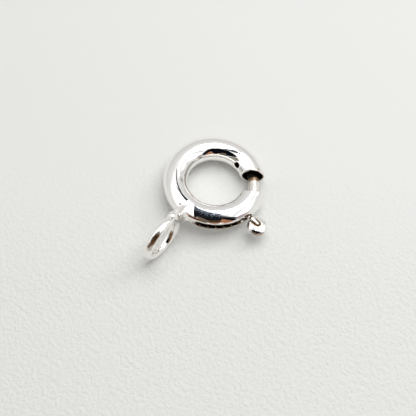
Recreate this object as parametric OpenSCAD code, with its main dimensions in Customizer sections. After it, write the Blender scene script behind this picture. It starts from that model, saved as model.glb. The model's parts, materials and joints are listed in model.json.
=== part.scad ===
// Spring ring clasp: a hollow ring with a sprung bolt, a knob trigger and a soldered end loop.
// The clasp lies as it rests by itself: on the ring's far side and on the foot of the loop.
// The loop points along -X, and the floor is z = 0 under the middle of the whole clasp.
// Angles run about the ring's own axis, from the side that is opposite the loop.

/* [Ring] */
// Outside diameter of the ring
ring_od = 6; // [5.6:0.1:9]
// Outside diameter of the tube that the ring is bent from
tube_od = 1.4; // [1.3:0.05:1.6]
// Wall thickness of the tube
tube_wall = 0.15; // [0.1:0.01:0.18]
// Place of the middle of the opening, in degrees from the side opposite the loop
gap_deg = -55.5; // [-60:0.5:-50]
// Width of the opening, which is one straight cut, so that its two end faces are parallel
gap_w = 1.34; // [1.1:0.02:1.4]

/* [Bolt] */
// Diameter of the curved wire that closes the opening
bolt_d = 0.64; // [0.5:0.02:0.7]
// How far the closed bolt reaches into the mouth
bolt_reach = 0.36; // [0.3:0.02:0.5]
// How far the thick tail of the closed bolt stays back from the lower end of the tube
tail_back = 0.38; // [0.3:0.02:0.5]
// How far the tail goes on behind the trigger
tail_over = 0.35; // [0.3:0.02:0.5]
// Running clearance between the tail and the bore
slide_clear = 0.06; // [0.04:0.01:0.09]

/* [Trigger] */
// Diameter of the flattened knob that a fingernail pulls
knob_d = 1.18; // [1:0.02:1.3]
// Thickness of the knob
knob_h = 0.6; // [0.5:0.02:0.7]
// How far the middle of the knob lies below the middle of the stem
knob_drop = 0.08; // [0:0.01:0.12]
// Space between the knob and the outside of the tube
knob_gap = 0.11; // [0.1:0.01:0.3]
// Diameter of the ridge that runs from the tube to the middle of the knob
ridge_d = 0.26; // [0.2:0.01:0.3]
// Height of the middle of the ridge above the middle of the stem
ridge_up = 0.17; // [0.14:0.01:0.2]
// Space between the ridge and the outside of the tube
ridge_clear = 0.05; // [0.04:0.01:0.08]
// Diameter of the stem between the bolt and the knob
stem_d = 0.3; // [0.24:0.02:0.36]
// Depth of the stem's seat past the middle of the bolt
stem_root = 0.22; // [0.1:0.02:0.26]
// Distance along the ring from the lower end of the tube to the closed trigger
trigger_set = 1.11; // [0.95:0.02:1.25]
// Travel of the trigger, along the middle of the tube
travel = 2.4; // [2:0.05:2.6]
// Clearance between the stem and the sides of its slot
slot_clear = 0.08; // [0.02:0.01:0.1]
// Clearance of the stem in its seat
seat_clear = 0.02; // [0.015:0.005:0.03]

/* [Spring] */
// Thickness of the spring wire
spring_wire = 0.13; // [0.1:0.01:0.16]
// Number of turns in the spring
spring_turns = 26; // [18:1:32]
// Clearance around the spring and at its ends
spring_clear = 0.04; // [0.03:0.01:0.08]
// Distance along the ring from the mouth to the wall that the spring leans on
stop_set = 1.34; // [1.3:0.02:1.6]
// Thickness of that wall
stop_w = 0.25; // [0.2:0.05:0.4]

/* [Punched hole] */
// Diameter of the small hole near the mouth
punch_d = 0.36; // [0.2:0.02:0.4]
// Distance along the ring from the mouth to the hole
punch_set = 1.08; // [0.96:0.02:1.1]
// Height of the hole above the ring's inner side, in degrees around the tube
punch_lift = 24; // [10:1:40]

/* [Loop] */
// Outside diameter of the soldered loop
loop_od = 3.04; // [2.6:0.02:3.6]
// Thickness of the loop wire
loop_wire = 0.53; // [0.44:0.01:0.6]
// Space between the tube and the loop that the solder fills
neck_len = 0.26; // [0.15:0.01:0.4]
// Radius of the hollow curve that the solder makes above and below, between tube and loop
solder_fillet = 0.8; // [0.4:0.05:1.2]
// How deep the solder's edges run into the tube and the loop
solder_bite = 0.03; // [0.02:0.01:0.06]
// Thickness of the solder from side to side
solder_w = 0.46; // [0.3:0.02:0.5]

/* [Hidden] */
$fn = 96;

// Radii that follow from the sizes above
ring_r = (ring_od - tube_od) / 2;
tube_r = tube_od / 2;
bore_r = tube_r - tube_wall;
tail_r = bore_r - slide_clear;
loop_r = (loop_od - loop_wire) / 2;
loop_at = ring_od / 2 + neck_len + loop_od / 2;
slot_w = stem_d + 2 * slot_clear;
knob_at = ring_od / 2 + knob_gap + knob_d / 2;
ridge_at = ring_r + sqrt(pow(tube_r + ridge_clear + ridge_d / 2, 2) - pow(ridge_up, 2));

// Angles that follow from distances along the middle of the tube
function along(mm) = mm / ring_r * 180 / PI;
mouth_deg = gap_deg + asin(gap_w / 2 / ring_r);
foot_deg = gap_deg - asin(gap_w / 2 / ring_r);
tip_deg = mouth_deg + along(bolt_reach - bolt_d / 2);
tail_front_deg = foot_deg - along(tail_back);
trigger_deg = foot_deg - along(trigger_set);
tail_end_deg = trigger_deg - along(tail_over);
open_deg = trigger_deg - along(travel);
stop_deg = mouth_deg + along(stop_set);
punch_deg = mouth_deg + along(punch_set);

// Pose in which the clasp rests on the far side of the ring and on the foot of the loop
rest_tilt = asin((loop_od / 2 - tube_r) / (ring_r + loop_at));
rest_h = tube_r + ring_r * sin(rest_tilt);
x_left = -loop_at * cos(rest_tilt) - loop_od / 2;
x_right = ring_r * cos(rest_tilt) + tube_r;
y_front = knob_at * sin(trigger_deg) - knob_d / 2;
y_back = ring_od / 2;

// Spring coil: its mean radius and the two angles between which it lies
coil_r = bore_r - spring_clear - spring_wire / 2;
coil_from = stop_deg + along(stop_w + spring_clear + spring_wire / 2);
coil_to = 360 + tail_end_deg - along(spring_clear + spring_wire / 2);
coil_steps = 12;
wire_sides = 6;

// How far a cut runs past what it cuts
spare = 0.2;

module at_rest() {
    translate([-(x_left + x_right) / 2, -(y_front + y_back) / 2, rest_h])
        rotate([0, rest_tilt, 0]) children();
}

// Sweeps a flat shape along the middle of the tube, from one angle to a larger one
module bent(from, to) {
    rotate([0, 0, from]) rotate_extrude(angle = to - from) translate([ring_r, 0]) children();
}

// Places a shape on the middle of the tube, with its +X pointing away from the ring's centre
module on_ring(deg) {
    rotate([0, 0, deg]) translate([ring_r, 0, 0]) children();
}

// A round bar that points outward across the tube, measured from the middle of the tube
module cross_bar(d, from, to) {
    translate([from, 0, 0]) rotate([0, 90, 0]) cylinder(d = d, h = to - from);
}

module loop_wire_ring() {
    translate([-loop_at, 0, 0]) rotate([90, 0, 0])
        rotate_extrude() translate([loop_r, 0]) circle(d = loop_wire);
}

// Solder between tube and loop: a web whose hollow upper and lower edges run into both of them
module solder_web() {
    apart = loop_at - ring_r;
    to_tube = tube_r + solder_fillet - solder_bite;
    to_loop = loop_od / 2 + solder_fillet - solder_bite;
    x = (pow(to_tube, 2) - pow(to_loop, 2) + pow(apart, 2)) / (2 * apart);
    z = sqrt(pow(to_tube, 2) - pow(x, 2));
    translate([-ring_r, 0, 0]) rotate([90, 0, 0]) linear_extrude(solder_w, center = true)
        difference() {
            polygon([[0, 0], [-x, z], [-apart, 0], [-x, -z]]);
            for (up = [-z, z]) translate([-x, up]) circle(r = solder_fillet);
            translate([-apart, 0]) circle(r = loop_r);
        }
}

// Slot along the outside of the ring that the stem slides in
module stem_slot() {
    reach = tube_r + spare;
    bent(open_deg, trigger_deg) translate([0, -slot_w / 2]) square([reach, slot_w]);
    for (end = [open_deg, trigger_deg]) on_ring(end) cross_bar(slot_w, -spare, reach + spare);
}

module punched_hole() {
    on_ring(punch_deg) rotate([0, 180 + punch_lift, 0]) cross_bar(punch_d, 0, tube_r + spare);
}

// Straight cut through the tube that leaves the opening
module opening_cut() {
    side = tube_od + 2 * spare;
    on_ring(gap_deg) translate([-side / 2, -gap_w / 2, -side / 2]) cube([side, gap_w, side]);
}

module ring() {
    color("silver") at_rest() {
        difference() {
            union() {
                rotate_extrude() translate([ring_r, 0]) circle(r = tube_r);
                solder_web();
                loop_wire_ring();
            }
            bent(stop_deg + along(stop_w), 360 + stop_deg) circle(r = bore_r);
            opening_cut();
            stem_slot();
            punched_hole();
        }
    }
}

module bolt() {
    color("gainsboro") at_rest() {
        difference() {
            union() {
                bent(tail_end_deg, tip_deg) circle(d = bolt_d);
                bent(tail_end_deg, tail_front_deg) circle(r = tail_r);
                on_ring(tip_deg) sphere(d = bolt_d);
            }
            on_ring(trigger_deg)
                cross_bar(stem_d + 2 * seat_clear, -stem_root - seat_clear, tail_r + spare);
        }
    }
}

// Flat round knob with a fully rounded rim
module knob() {
    rotate_extrude() intersection() {
        union() {
            translate([(knob_d - knob_h) / 2, 0]) circle(d = knob_h);
            translate([0, -knob_h / 2]) square([(knob_d - knob_h) / 2, knob_h]);
        }
        translate([0, -knob_h]) square([knob_d, 2 * knob_h]);
    }
}

module trigger() {
    color("lightgray") at_rest() on_ring(trigger_deg) {
        cross_bar(stem_d, -stem_root, knob_at - ring_r);
        translate([knob_at - ring_r, 0, -knob_drop]) knob();
        translate([0, 0, ridge_up]) {
            cross_bar(ridge_d, ridge_at - ring_r, knob_at - ring_r);
            for (end = [ridge_at, knob_at]) translate([end - ring_r, 0, 0]) sphere(d = ridge_d);
        }
    }
}

// Middle line of the spring, which winds around the middle of the tube
function coil_point(turn) =
    let (deg = coil_from + (coil_to - coil_from) * turn / spring_turns,
         out = ring_r + coil_r * cos(360 * turn))
    [out * cos(deg), out * sin(deg), coil_r * sin(360 * turn)];
function unit(v) = v / norm(v);

module spring() {
    count = spring_turns * coil_steps;
    step = 1 / coil_steps;
    rings = [for (i = [0:count])
        let (here = coil_point(i * step),
             ahead = unit(coil_point((i + 0.5) * step) - coil_point((i - 0.5) * step)),
             deg = coil_from + (coil_to - coil_from) * i / count,
             middle = ring_r * [cos(deg), sin(deg), 0],
             side = unit(cross(ahead, here - middle)),
             out = cross(side, ahead))
        [for (k = [0:wire_sides - 1]) let (a = 360 * k / wire_sides)
            here + spring_wire / 2 * (cos(a) * out + sin(a) * side)]];
    points = [for (r = rings) for (p = r) p];
    walls = [for (i = [0:count - 1]) for (k = [0:wire_sides - 1])
        let (a = i * wire_sides + k, b = i * wire_sides + (k + 1) % wire_sides)
        [a, b, b + wire_sides, a + wire_sides]];
    first = [for (k = [wire_sides - 1:-1:0]) k];
    last = [for (k = [0:wire_sides - 1]) count * wire_sides + k];
    color("darkgray") at_rest() polyhedron(points, concat(walls, [first, last]));
}

ring();
bolt();
trigger();
spring();
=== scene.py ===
"""Looks of a spring ring clasp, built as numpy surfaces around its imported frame.

Every surface is worked out in the ring's own frame, in metres: the origin is the middle of the ring,
X points away from the end loop and Z is the ring's axis. to_row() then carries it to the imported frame.
"""

import json
import math
from types import SimpleNamespace

import bpy
import numpy as np
from bpy.props import FloatProperty, FloatVectorProperty, IntProperty, PointerProperty
from mathutils import Matrix, Vector


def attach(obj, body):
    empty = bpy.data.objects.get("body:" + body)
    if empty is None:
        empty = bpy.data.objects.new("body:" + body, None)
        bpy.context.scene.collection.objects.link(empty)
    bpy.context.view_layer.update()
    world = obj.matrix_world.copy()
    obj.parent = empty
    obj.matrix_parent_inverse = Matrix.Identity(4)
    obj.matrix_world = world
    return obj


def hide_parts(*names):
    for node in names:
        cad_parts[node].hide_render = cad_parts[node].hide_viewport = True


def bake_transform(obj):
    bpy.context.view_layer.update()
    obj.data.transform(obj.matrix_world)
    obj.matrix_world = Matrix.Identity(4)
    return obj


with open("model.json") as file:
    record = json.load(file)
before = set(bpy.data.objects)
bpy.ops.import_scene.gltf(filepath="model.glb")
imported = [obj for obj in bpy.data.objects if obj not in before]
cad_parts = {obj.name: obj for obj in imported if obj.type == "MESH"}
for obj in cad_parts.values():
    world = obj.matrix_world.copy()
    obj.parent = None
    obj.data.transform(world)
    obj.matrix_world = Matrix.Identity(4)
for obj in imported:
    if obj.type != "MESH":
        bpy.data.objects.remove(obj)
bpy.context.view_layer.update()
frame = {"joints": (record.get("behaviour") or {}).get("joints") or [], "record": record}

bl_info = {
    "name": "Spring Ring Clasp",
    "version": (1, 0, 0),
    "blender": (4, 5, 0),
    "location": "3D View > Sidebar > Clasp",
    "description": "Builds the polished surfaces, spring and studio of a spring ring clasp",
    "category": "Add Mesh",
}

MM = 0.001
SLIDE = next(j for j in frame["joints"] if j["name"] == "bolt_slide")
LOOP_EYE = next(m for m in frame["record"]["mounts"] if m["name"] == "loop_eye")

# The ring's own frame: its middle, and its X, Y and Z as rows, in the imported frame
RING_MIDDLE = np.array(SLIDE["pos_m"])
RING_UP = -np.array(SLIDE["axis"]) / np.linalg.norm(SLIDE["axis"])
RING_SIDE = np.array([0.0, 1.0, 0.0])
RING_AXES = np.stack([np.cross(RING_SIDE, RING_UP), RING_SIDE, RING_UP])
LOOP_REACH = float(np.linalg.norm(np.array(LOOP_EYE["pos_m"]) - RING_MIDDLE))


# Sizes and colours that a user would change

def length(name, description, millimetres):
    return FloatProperty(name=name, description=description, default=millimetres * MM,
                         min=0.0, precision=6, unit="LENGTH", subtype="DISTANCE")


def angle(name, description, degrees):
    return FloatProperty(name=name, description=description, default=math.radians(degrees),
                         precision=4, subtype="ANGLE")


def colour(name, description, value):
    return FloatVectorProperty(name=name, description=description, default=value,
                               size=3, min=0.0, max=1.0, subtype="COLOR")


def number(name, description, value):
    return FloatProperty(name=name, description=description, default=value, min=0.0)


class ClaspSizes(bpy.types.PropertyGroup):
    """Sizes of the clasp, the same as those of its solids."""
    ring_across: length("Ring diameter", "Outside diameter of the ring", 6.0)
    tube_across: length("Tube diameter", "Outside diameter of the tube", 1.4)
    tube_wall: length("Tube wall", "Wall thickness of the tube", 0.15)
    rim_round: length("Rim rounding", "Rounding of the tube's cut ends", 0.045)
    gap_angle: angle("Opening place", "Middle of the opening, from the side opposite the loop", -55.5)
    gap_width: length("Opening width", "Distance between the two parallel cut ends", 1.34)
    bolt_across: length("Bolt diameter", "Diameter of the wire that closes the opening", 0.64)
    bolt_reach: length("Bolt reach", "How far the closed bolt goes into the mouth", 0.36)
    tail_back: length("Tail setback", "Distance of the bolt's tail from the tube's lower end", 0.38)
    tail_over: length("Tail behind trigger", "How far the tail goes on behind the trigger", 0.35)
    tail_clear: length("Tail clearance", "Running clearance between tail and bore", 0.06)
    tail_round: length("Tail rounding", "Rounding of the tail's edges", 0.07)
    knob_across: length("Knob diameter", "Diameter of the flat knob that a fingernail pulls", 1.18)
    knob_height: length("Knob height", "Height of the knob", 0.6)
    knob_drop: length("Knob drop", "How far the knob sits below the middle of the tube", 0.08)
    knob_clear: length("Knob clearance", "Space between the knob and the tube", 0.11)
    ridge_across: length("Ridge thickness", "Thickness of the rounded ridge over the knob", 0.26)
    ridge_up: length("Ridge height", "Height of the ridge over the middle of the tube", 0.17)
    ridge_clear: length("Ridge clearance", "Space between the ridge and the tube", 0.05)
    stem_across: length("Stem diameter", "Diameter of the stem that carries the knob", 0.3)
    stem_root: length("Stem root", "Depth of the stem's seat past the middle of the bolt", 0.22)
    seat_clear: length("Seat clearance", "Clearance of the stem in its seat", 0.02)
    trigger_set: length("Trigger place", "Distance along the ring from the lower end to the trigger", 1.11)
    travel: length("Travel", "Way that the trigger moves, along the middle of the tube", 2.4)
    slot_clear: length("Slot clearance", "Clearance between stem and slot", 0.08)
    slot_round: length("Slot rounding", "Rounding of the slot's edges", 0.03)
    spring_wire: length("Spring wire", "Thickness of the spring wire", 0.13)
    spring_clear: length("Spring clearance", "Clearance around the spring and at its ends", 0.04)
    spring_turns: IntProperty(name="Spring turns", description="Number of turns in the spring",
                              default=26, min=4)
    stop_set: length("Stop place", "Distance along the ring from the mouth to the spring's wall", 1.34)
    stop_width: length("Stop width", "Thickness of that wall", 0.25)
    punch_across: length("Punched hole", "Diameter of the small hole near the mouth", 0.36)
    punch_round: length("Punched hole rounding", "Rounding of that hole's edge", 0.02)
    punch_set: length("Punched hole place", "Distance along the ring from the mouth to the hole", 1.08)
    punch_lift: angle("Punched hole lift", "Height of the hole above the ring's inner side", 24.0)
    loop_across: length("Loop diameter", "Outside diameter of the end loop", 3.04)
    loop_wire: length("Loop wire", "Thickness of the loop wire", 0.53)


class ClaspFinish(bpy.types.PropertyGroup):
    """Colours and polish of the clasp's metals."""
    silver: colour("Silver", "Polished sterling silver", (0.955, 0.935, 0.905))
    # The tarnish colour is also that of painted shade in crevices and of painted reflections of the shaded
    # floor
    tarnish: colour("Tarnish", "Brown film in corners and hollows", (0.25, 0.155, 0.07))
    # Painted shade: the bore colour paints the inside of the tube and the depths of its holes near black
    bore: colour("Bore", "Blackened inside of the tube", (0.012, 0.010, 0.010))
    bolt: colour("Bolt", "Drawn silver wire of the bolt", (0.90, 0.86, 0.80))
    spring: colour("Spring", "Bronzed spring wire", (0.42, 0.30, 0.18))
    polish: number("Polish roughness", "Roughness of the polished silver", 0.022)
    haze: number("Haze roughness", "Roughness where solder heat has hazed the silver", 0.26)
    haze_tint: colour("Haze", "Hazed silver beside the solder", (0.17, 0.195, 0.235))
    scale_tint: colour("Fire scale", "Dark specks in the haze", (0.008, 0.010, 0.014))
    wave: length("Polishing wave", "Height of the shallow waves that polishing leaves", 0.0035)


class ClaspStage(bpy.types.PropertyGroup):
    """Camera, light and floor of the studio."""
    view_turn: angle("View turn", "Camera's place around the clasp, from straight in front", -52.0)
    view_lift: angle("View lift", "Camera's height above the floor, as an angle", 64.6)
    view_distance: length("View distance", "Distance from the camera to the middle of the ring", 62.1)
    picture_scale: number("Picture scale", "Pixels for each millimetre at the ring", 17.152)
    ring_pixel: FloatVectorProperty(name="Ring pixel", size=2, default=(214.3, 182.3),
                                    description="Where the middle of the ring lands in the picture")
    floor: colour("Floor", "Pale floor", (0.80, 0.81, 0.80))
    horizon_light: number("Horizon light", "Brightness of the walls at the floor", 0.66)
    wall_light: number("Wall light", "Brightness of the walls where the roof starts", 0.80)
    roof_light: number("Roof light", "Brightness of the white light overhead", 1.25)
    fill_light: number("Fill light", "Brightness of the light from all round on the floor", 0.42)
    inner_light: number("Inner light", "Power of the narrow lamp over the hole, in milliwatts", 12.0)
    key_light: number("Key light", "Power of the large lamp over the clasp, in milliwatts", 110.0)
    side_light: number("Side light", "Power of the smaller lamp at the side, in milliwatts", 24.0)


PICTURE = 416   # width and height of the picture, in pixels
SENSOR = 36.0   # width of the camera's sensor, in millimetres
CLIP = 0.001, 10.0   # nearest and farthest places that the camera sees, in metres


def measures(s):
    """Radii, and angles about the ring's axis, that follow from the sizes."""
    m = SimpleNamespace()
    m.bend = (s.ring_across - s.tube_across) / 2
    m.skin = s.tube_across / 2
    m.bore = m.skin - s.tube_wall
    m.tail = m.bore - s.tail_clear
    m.bolt = s.bolt_across / 2
    m.half_gap = s.gap_width / 2
    m.mouth = s.gap_angle + math.asin(m.half_gap / m.bend)
    m.foot = s.gap_angle - math.asin(m.half_gap / m.bend)
    m.tip = m.mouth + (s.bolt_reach - m.bolt) / m.bend
    m.tail_front = m.foot - s.tail_back / m.bend
    m.trigger = m.foot - s.trigger_set / m.bend
    m.tail_end = m.trigger - s.tail_over / m.bend
    m.open = m.trigger - s.travel / m.bend
    m.stop = m.mouth + s.stop_set / m.bend
    m.stop_back = m.stop + s.stop_width / m.bend
    m.punch = m.mouth + s.punch_set / m.bend
    m.stem = s.stem_across / 2
    m.knob = s.knob_across / 2
    m.knob_at = m.skin + s.knob_clear + m.knob
    m.ridge = s.ridge_across / 2
    m.ridge_at = math.sqrt((m.skin + s.ridge_clear + m.ridge) ** 2 - s.ridge_up ** 2)
    m.coil = m.bore - s.spring_clear - s.spring_wire / 2
    m.coil_from = m.stop_back + (s.spring_clear + s.spring_wire / 2) / m.bend
    m.coil_to = math.tau + m.tail_end - (s.spring_clear + s.spring_wire / 2) / m.bend
    m.loop = (s.loop_across - s.loop_wire) / 2
    m.wire = s.loop_wire / 2
    return m


# Surfaces

def smooth(x):
    """Rises from 0 to 1 as x does, level at both ends: 3x squared less 2x cubed."""
    x = np.clip(x, 0.0, 1.0)
    return x * x * (3 - 2 * x)


def unit(vectors):
    """Each vector over its own length."""
    return vectors / np.linalg.norm(vectors, axis=-1, keepdims=True)


def circle(sides):
    """Angles of evenly spread places on a circle, from 0 on."""
    return np.arange(sides) * math.tau / sides


def lifts(sides):
    """Angles of evenly spread places round a tube, from its inner side on."""
    return circle(sides) - math.pi


def clean(turn, lift):
    """No tarnish and no painted shade: zero for each point."""
    return 0.0 * turn


def add_object(name, data):
    """A new object in the scene."""
    new = bpy.data.objects.new(name, data)
    bpy.context.scene.collection.objects.link(new)
    return new


def rows_between(start, end, count):
    """count rows that lie evenly between two rows, without those two."""
    part = (np.arange(1, count + 1) / (count + 1))[:, None]
    return start * (1 - part) + end * part


def around_ring(turn, lift, radius, bend):
    """Torus point: turn is the angle about the ring's axis, radius the distance from the tube's middle
    line, and lift the angle round that line, from the outer side over the top."""
    turn, lift, radius = np.broadcast_arrays(turn, lift, radius)
    out = bend + radius * np.cos(lift)
    return np.stack([out * np.cos(turn), out * np.sin(turn), radius * np.sin(lift)], -1)


def to_row(points):
    """From the ring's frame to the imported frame: a turn by the ring's axes, then a move to its middle."""
    return RING_MIDDLE + np.asarray(points) @ RING_AXES


class Shell:
    """Points and faces of one closed surface, gathered as arrays. A row is a closed ring of point
    numbers. A step from row to row, a step round a row and the way out are right-handed. Each point
    is marked with how far its colour is darkened, from 0 to 1, partly by tarnish and partly by
    painted shade and painted reflection, how hazy and how satin."""

    def __init__(self):
        self.points, self.marks, self.faces, self.size = [], {"tarnish_and_shade": [], "haze": [], "satin": []}, [], 0

    def add(self, points, tarnish_and_shade=0.0, haze=0.0, satin=0.0):
        """Takes in an array of points and their marks, and gives their numbers."""
        points = np.asarray(points, float)
        numbers = self.size + np.arange(points[..., 0].size).reshape(points.shape[:-1])
        self.points.append(points.reshape(-1, 3))
        for name, mark in (("tarnish_and_shade", tarnish_and_shade), ("haze", haze), ("satin", satin)):
            self.marks[name].append(np.broadcast_to(mark, points.shape[:-1]).ravel())
        self.size += numbers.size
        return numbers

    def skin(self, rows, hidden=None):
        """Four-sided faces between each row and the next, apart from the hidden ones."""
        rows = np.asarray(rows)
        beside = np.roll(rows, -1, axis=1)
        faces = np.stack([rows[:-1], rows[1:], beside[1:], beside[:-1]], -1)
        self.faces += (faces if hidden is None else faces[~hidden]).reshape(-1, 4).tolist()

    def pole(self, row, point, tarnish_and_shade=0.0, first=False):
        """Closes a row with triangles to one point, which stands for the first row or the last."""
        middle = np.full(len(row), self.add(np.reshape(point, (1, 3)), tarnish_and_shade)[0])
        beside = np.roll(row, -1)
        self.faces += np.stack([middle, row, beside] if first else [row, middle, beside], -1).tolist()

    def build(self, name, material):
        """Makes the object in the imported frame, with its marks as point attributes."""
        mesh = bpy.data.meshes.new(name)
        mesh.from_pydata(to_row(np.concatenate(self.points)).tolist(), [], self.faces)
        mesh.polygons.foreach_set("use_smooth", np.ones(len(mesh.polygons), bool))
        for mark, values in self.marks.items():
            layer = mesh.attributes.new(mark, "FLOAT", "POINT")
            layer.data.foreach_set("value", np.concatenate(values).astype(np.float32))
        mesh.materials.append(material)
        mesh.update()
        return add_object(name, mesh)


def walk(first, last, left, right):
    """Rows and columns met on the way round a rectangle of a grid: across, on, back across and back."""
    across, along = right - left, last - first
    row = np.concatenate([np.full(across, first), np.arange(first, last),
                          np.full(across, last), np.arange(last, first, -1)])
    column = np.concatenate([np.arange(left, right), np.full(along, right),
                             np.arange(right, left, -1), np.full(along, left)])
    return row, column


class Sheet:
    """A grid on a bent tube: a row for each turn, and columns round the tube from its inner side."""

    def __init__(self, shell, turn, sides, radius, bend, swell=None, tarnish_and_shade=0.0, haze=0.0, satin=0.0):
        self.lift = lifts(sides)
        self.turn = np.broadcast_to(turn, (len(turn), sides))
        self.radius, self.bend, self.sides = radius, bend, sides
        self.swell = swell or (lambda turn, lift: 0.0)
        self.numbers = shell.add(self.point(self.turn, self.lift), tarnish_and_shade, haze, satin)
        self.hidden = np.zeros((len(turn) - 1, sides), bool)

    def point(self, turn, lift):
        """Torus point on this sheet, whose radius swells a little from place to place."""
        return around_ring(turn, lift, self.radius + self.swell(turn, lift), self.bend)

    def open_up(self, first, last, left, right):
        """Hides the faces in a rectangle and gives its edge: point numbers, turns and lifts."""
        row, column = walk(first, last, left, right)
        self.hidden[np.ix_(np.arange(first, last), np.arange(left, right) % self.sides)] = True
        wrapped = column % self.sides
        return (self.numbers[row, wrapped], self.turn[row, wrapped],
                column * math.tau / self.sides - math.pi)


class Window:
    """A hole in a bent tube: round where start and end are equal, and otherwise a slot along the ring.
    Its middle line leaves the tube at the angle lift, and its lip is rounded by edge."""

    LIP = np.linspace(0, math.pi / 2, 5)   # angles round the lip
    WALL_ROWS = 4      # rows down the wall
    WALL_SPARED = 0.7  # share of the painted shade that the wall which faces up is spared, as light falls on it
    BLACK_SHADE_AT = 1.4      # depth at which painted shade would turn that wall black: more than 1, so it stays brown
    BLACK_SHADE_FADE = 0.25   # share of the thickness over which painted shade turns the other walls black

    def __init__(self, start, end, lift, reach, edge):
        self.start, self.end, self.lift, self.reach, self.edge = start, end, lift, reach, edge

    def bearing(self, sheet, turn, lift):
        """Nearest place on the hole's middle line, and the direction from it, for points of a sheet."""
        core = np.clip(turn, self.start, self.end)
        along = (sheet.bend + sheet.radius * np.cos(lift)) * np.sin(turn - core)
        return core, np.arctan2(sheet.radius * np.sin(lift - self.lift), along)

    def outline(self, core, direction, reach, radius, bend):
        """Turn and lift of the points at that radius that lie at reach from the hole's middle line. The
        lift differs by the arc sine of reach times sine over radius, and the turn by that of reach
        times cosine over the distance from the ring's axis."""
        lift = self.lift + np.arcsin(reach * np.sin(direction) / radius)
        out = bend + radius * np.cos(lift)
        return core + np.arcsin(reach * np.cos(direction) / out), lift

    def rectangle(self, sheet, margin):
        """Rows and columns of a sheet that frame the hole, with a margin beyond it."""
        turn = sheet.turn[:, sheet.sides // 4]
        step = (turn[-1] - turn[0]) / (len(turn) - 1)
        size = self.reach + self.edge
        ahead = math.ceil(size / (sheet.bend + sheet.radius * math.cos(self.lift)) / step) + margin
        side = math.ceil(size / sheet.radius / math.tau * sheet.sides) + margin
        column = round((self.lift + math.pi) / math.tau * sheet.sides)
        return (int(np.searchsorted(turn, self.start)) - ahead, int(np.searchsorted(turn, self.end)) + ahead,
                column - side, column + side)

    def cut_lip(self, shell, sheet, rectangle, margin, tarnish_and_shade, film):
        """Rows from a rectangle's edge over the sheet to the hole and round its lip, a quarter circle.
        Gives them with the bearings of their points."""
        numbers, turn, lift = sheet.open_up(*rectangle)
        core, direction = self.bearing(sheet, turn, lift)
        rim_turn, rim_lift = self.outline(core, direction, self.reach + self.edge, sheet.radius, sheet.bend)
        beside = rows_between(turn, rim_turn, margin + 1), rows_between(lift, rim_lift, margin + 1)
        rows = [numbers, *shell.add(sheet.point(*beside), film(*beside))]
        for bow in self.LIP:
            turn, lift = self.outline(core, direction, self.reach + self.edge * (1 - math.sin(bow)),
                                      sheet.radius, sheet.bend)
            fall = self.edge * (1 - math.cos(bow)) - math.cos(bow) * sheet.swell(turn, lift)
            rows.append(shell.add(around_ring(turn, lift, sheet.radius - fall, sheet.bend),
                                  np.maximum(tarnish_and_shade * math.sin(bow), film(turn, lift))))
        return rows, core, direction

    def pierce(self, shell, outer, inner, margin, tarnish_and_shade, film):
        """Cuts the hole through a wall, from its outer sheet to its inner one. The mark before film is the
        tarnish and painted shade of the hole's walls, and film a function that gives the brown of the skin
        beside it: tarnish and painted reflection beside the slot."""
        rectangle = self.rectangle(outer, margin)
        rows, core, direction = self.cut_lip(shell, outer, rectangle, margin, tarnish_and_shade, film)
        faces_up = np.maximum(-np.sin(direction), 0)
        first, last, left, right = rectangle
        numbers, turn, lift = inner.open_up(first + 1, last - 1, left - 1, right + 1)
        # Painted shade: the walls are painted brown, less where they face up, and near black deeper in
        brown = tarnish_and_shade * (1 - self.WALL_SPARED * faces_up)
        for radius in np.linspace(outer.radius - self.edge, inner.radius + self.edge, self.WALL_ROWS + 1)[1:]:
            depth = (outer.radius - radius) / (outer.radius - inner.radius)
            black = smooth((depth - self.BLACK_SHADE_AT * faces_up) / self.BLACK_SHADE_FADE)
            place = self.outline(core, direction, self.reach, radius, outer.bend)
            rows.append(shell.add(around_ring(*place, radius, outer.bend), brown + (1 - brown) * black))
        for bow in self.LIP[1:]:
            radius = inner.radius + self.edge * (1 - math.sin(bow))
            place = self.outline(core, direction, self.reach + self.edge * (1 - math.cos(bow)), radius,
                                 outer.bend)
            rows.append(shell.add(around_ring(*place, radius, outer.bend), 1.0))
        rows += list(shell.add(around_ring(rows_between(place[0], turn, margin),
                                           rows_between(place[1], lift, margin),
                                           inner.radius, inner.bend), 1.0))
        shell.skin(rows + [numbers])

    def sink(self, shell, outer, bottom, margin, tarnish_and_shade):
        """Cuts a round blind hole into a rod, straight along its middle line down to bottom."""
        rows = self.cut_lip(shell, outer, self.rectangle(outer, margin), margin, tarnish_and_shade, clean)[0]
        lip = shell.points[-1]
        way = around_ring(self.start, self.lift, 1.0, 0.0)
        floor = around_ring(self.start, 0.0, 0.0, outer.bend) + bottom * way
        wall = lip - ((lip - floor) @ way)[:, None] * way
        for part in (0.5, 1.0):
            rows.append(shell.add(lip * (1 - part) + wall * part, tarnish_and_shade))
        rows.append(shell.add(floor + (wall - floor) * 0.5, tarnish_and_shade))
        shell.skin(rows)
        shell.pole(rows[-1], floor, tarnish_and_shade)


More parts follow.
